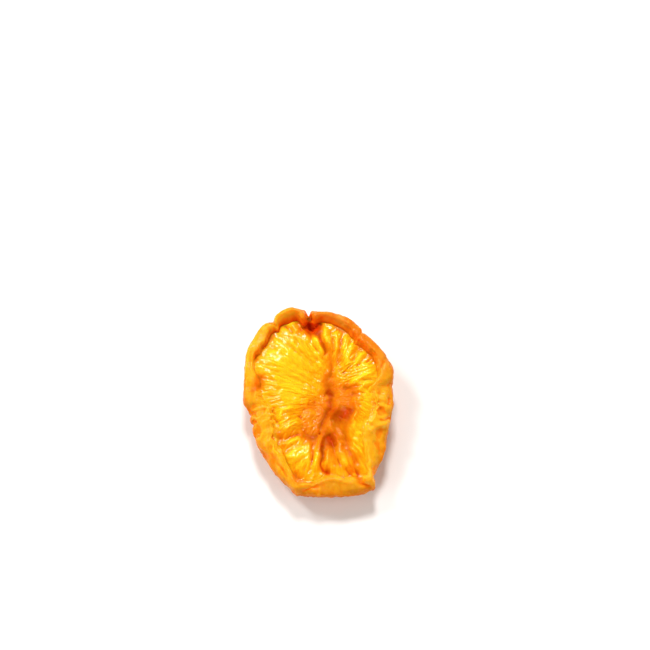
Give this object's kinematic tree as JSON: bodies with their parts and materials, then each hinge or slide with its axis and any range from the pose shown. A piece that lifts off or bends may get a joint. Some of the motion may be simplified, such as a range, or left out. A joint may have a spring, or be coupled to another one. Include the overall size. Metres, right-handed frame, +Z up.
{
  "type": "dried nectarine half",
  "caption": "Dried stone-fruit half lying cut face up: rolled skin rim, pleated sunken flesh, cleft stem end and wrinkled back, for food scenes.",
  "frame": {"origin": "on the surface the half rests on, under the middle of its outline", "axes": "+Z up, out of the cut face; +Y towards the stem end, along the length; +X to the right of the cut face seen from above"},
  "size_m": [0.048, 0.062, 0.0145],
  "materials": {
    "dried_flesh_and_skin": "leathery sun-dried skin and moist golden flesh, satin with small wet glints"
  },
  "bodies": {
    "root": {"nectarine_half": "dried_flesh_and_skin"}
  },
  "joints": []
}
